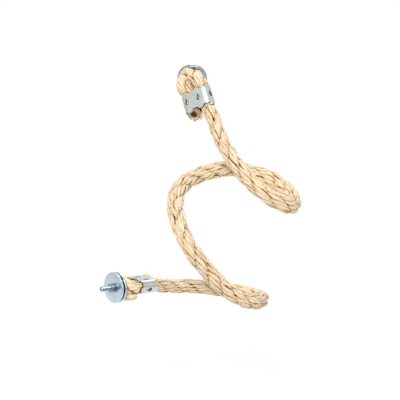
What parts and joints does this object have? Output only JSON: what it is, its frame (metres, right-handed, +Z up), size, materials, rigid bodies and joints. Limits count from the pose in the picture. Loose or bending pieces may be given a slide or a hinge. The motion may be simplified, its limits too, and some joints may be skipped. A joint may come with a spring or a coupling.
{
  "type": "bird perch",
  "caption": "Bendable rope perch wound into falling turns, with a clamped eye and a bolted washer fixing at each end that grips the wires of a cage.",
  "frame": {"origin": "on the top bolt's axis, on the face of the inner wide washer that bears on the cage wires", "axes": "+Z up; +Y along the top bolt into the cage wall; +X to the right for someone who faces the cage wall"},
  "size_m": [0.1934, 0.1744, 0.2146],
  "materials": {
    "rope": "laid sisal, rough",
    "core_wire": "annealed steel wire, dull",
    "clamp": "zinc-plated sheet, semi-bright",
    "bolt": "zinc-plated, semi-bright",
    "washer": "zinc-plated, bright",
    "nut": "zinc-plated, bright"
  },
  "bodies": {
    "top_end": {"rope_top_end": "rope", "core_wire_top_end": "core_wire", "top_clamp": "clamp", "top_bolt": "bolt", "top_head_washer": "washer", "top_inner_washer": "washer"},
    "run_1": {"rope_run_1": "rope", "core_wire_run_1": "core_wire"},
    "run_2": {"rope_run_2": "rope", "core_wire_run_2": "core_wire"},
    "run_3": {"rope_run_3": "rope", "core_wire_run_3": "core_wire"},
    "run_4": {"rope_run_4": "rope", "core_wire_run_4": "core_wire"},
    "run_5": {"rope_run_5": "rope", "core_wire_run_5": "core_wire"},
    "bottom_end": {"rope_bottom_end": "rope", "core_wire_bottom_end": "core_wire", "bottom_clamp": "clamp", "bottom_bolt": "bolt", "bottom_head_washer": "washer", "bottom_inner_washer": "washer"},
    "top_outer_washer": {"top_outer_washer": "washer"},
    "top_nut": {"top_nut": "nut"},
    "bottom_outer_washer": {"bottom_outer_washer": "washer"},
    "bottom_nut": {"bottom_nut": "nut"}
  },
  "joints": [
    {"name": "bend_1", "type": "hinge", "parent": "top_end", "child": "run_1", "pos_m": [0.021, -0.056, -0.017], "axis": [-0.5551, -0.5971, 0.5791], "range_deg": [-30, 45]},
    {"name": "bend_2", "type": "hinge", "parent": "run_1", "child": "run_2", "pos_m": [0.073, -0.122, -0.064], "axis": [0.5518, 0.062, 0.8317], "range_deg": [-30, 45]},
    {"name": "bend_3", "type": "hinge", "parent": "run_2", "child": "run_3", "pos_m": [0.077, -0.052, -0.083], "axis": [0.074, -0.134, 0.9882], "range_deg": [-30, 45]},
    {"name": "bend_4", "type": "hinge", "parent": "run_3", "child": "run_4", "pos_m": [-0.014, -0.084, -0.081], "axis": [0.3579, -0.27, 0.8939], "range_deg": [-30, 45]},
    {"name": "bend_5", "type": "hinge", "parent": "run_4", "child": "run_5", "pos_m": [0.015, -0.147, -0.13], "axis": [0.767, -0.105, 0.633], "range_deg": [-30, 45]},
    {"name": "bend_6", "type": "hinge", "parent": "run_5", "child": "bottom_end", "pos_m": [0.057, -0.096, -0.191], "axis": [0.146, 0.4089, 0.9008], "range_deg": [-30, 45]},
    {"name": "top_washer_travel", "type": "slide", "parent": "top_end", "child": "top_outer_washer", "axis": [0, 1, 0], "range_m": [-0.002, 0.004]},
    {"name": "top_nut_turn", "type": "hinge", "parent": "top_outer_washer", "child": "top_nut", "pos_m": [0, 0.0036, 0], "axis": [0, 1, 0], "range_deg": [-901, 1801]},
    {"name": "bottom_washer_travel", "type": "slide", "parent": "bottom_end", "child": "bottom_outer_washer", "axis": [-0.7575, -0.5918, 0.2756], "range_m": [-0.002, 0.004]},
    {"name": "bottom_nut_turn", "type": "hinge", "parent": "bottom_outer_washer", "child": "bottom_nut", "pos_m": [-0.07636, -0.12672, -0.16259], "axis": [-0.7575, -0.5918, 0.2756], "range_deg": [-901, 1801]}
  ],
  "couplings": [
    {"joint": "top_nut_turn", "follows": "top_washer_travel", "rad_per_m": 7854},
    {"joint": "bottom_nut_turn", "follows": "bottom_washer_travel", "rad_per_m": 7854}
  ]
}
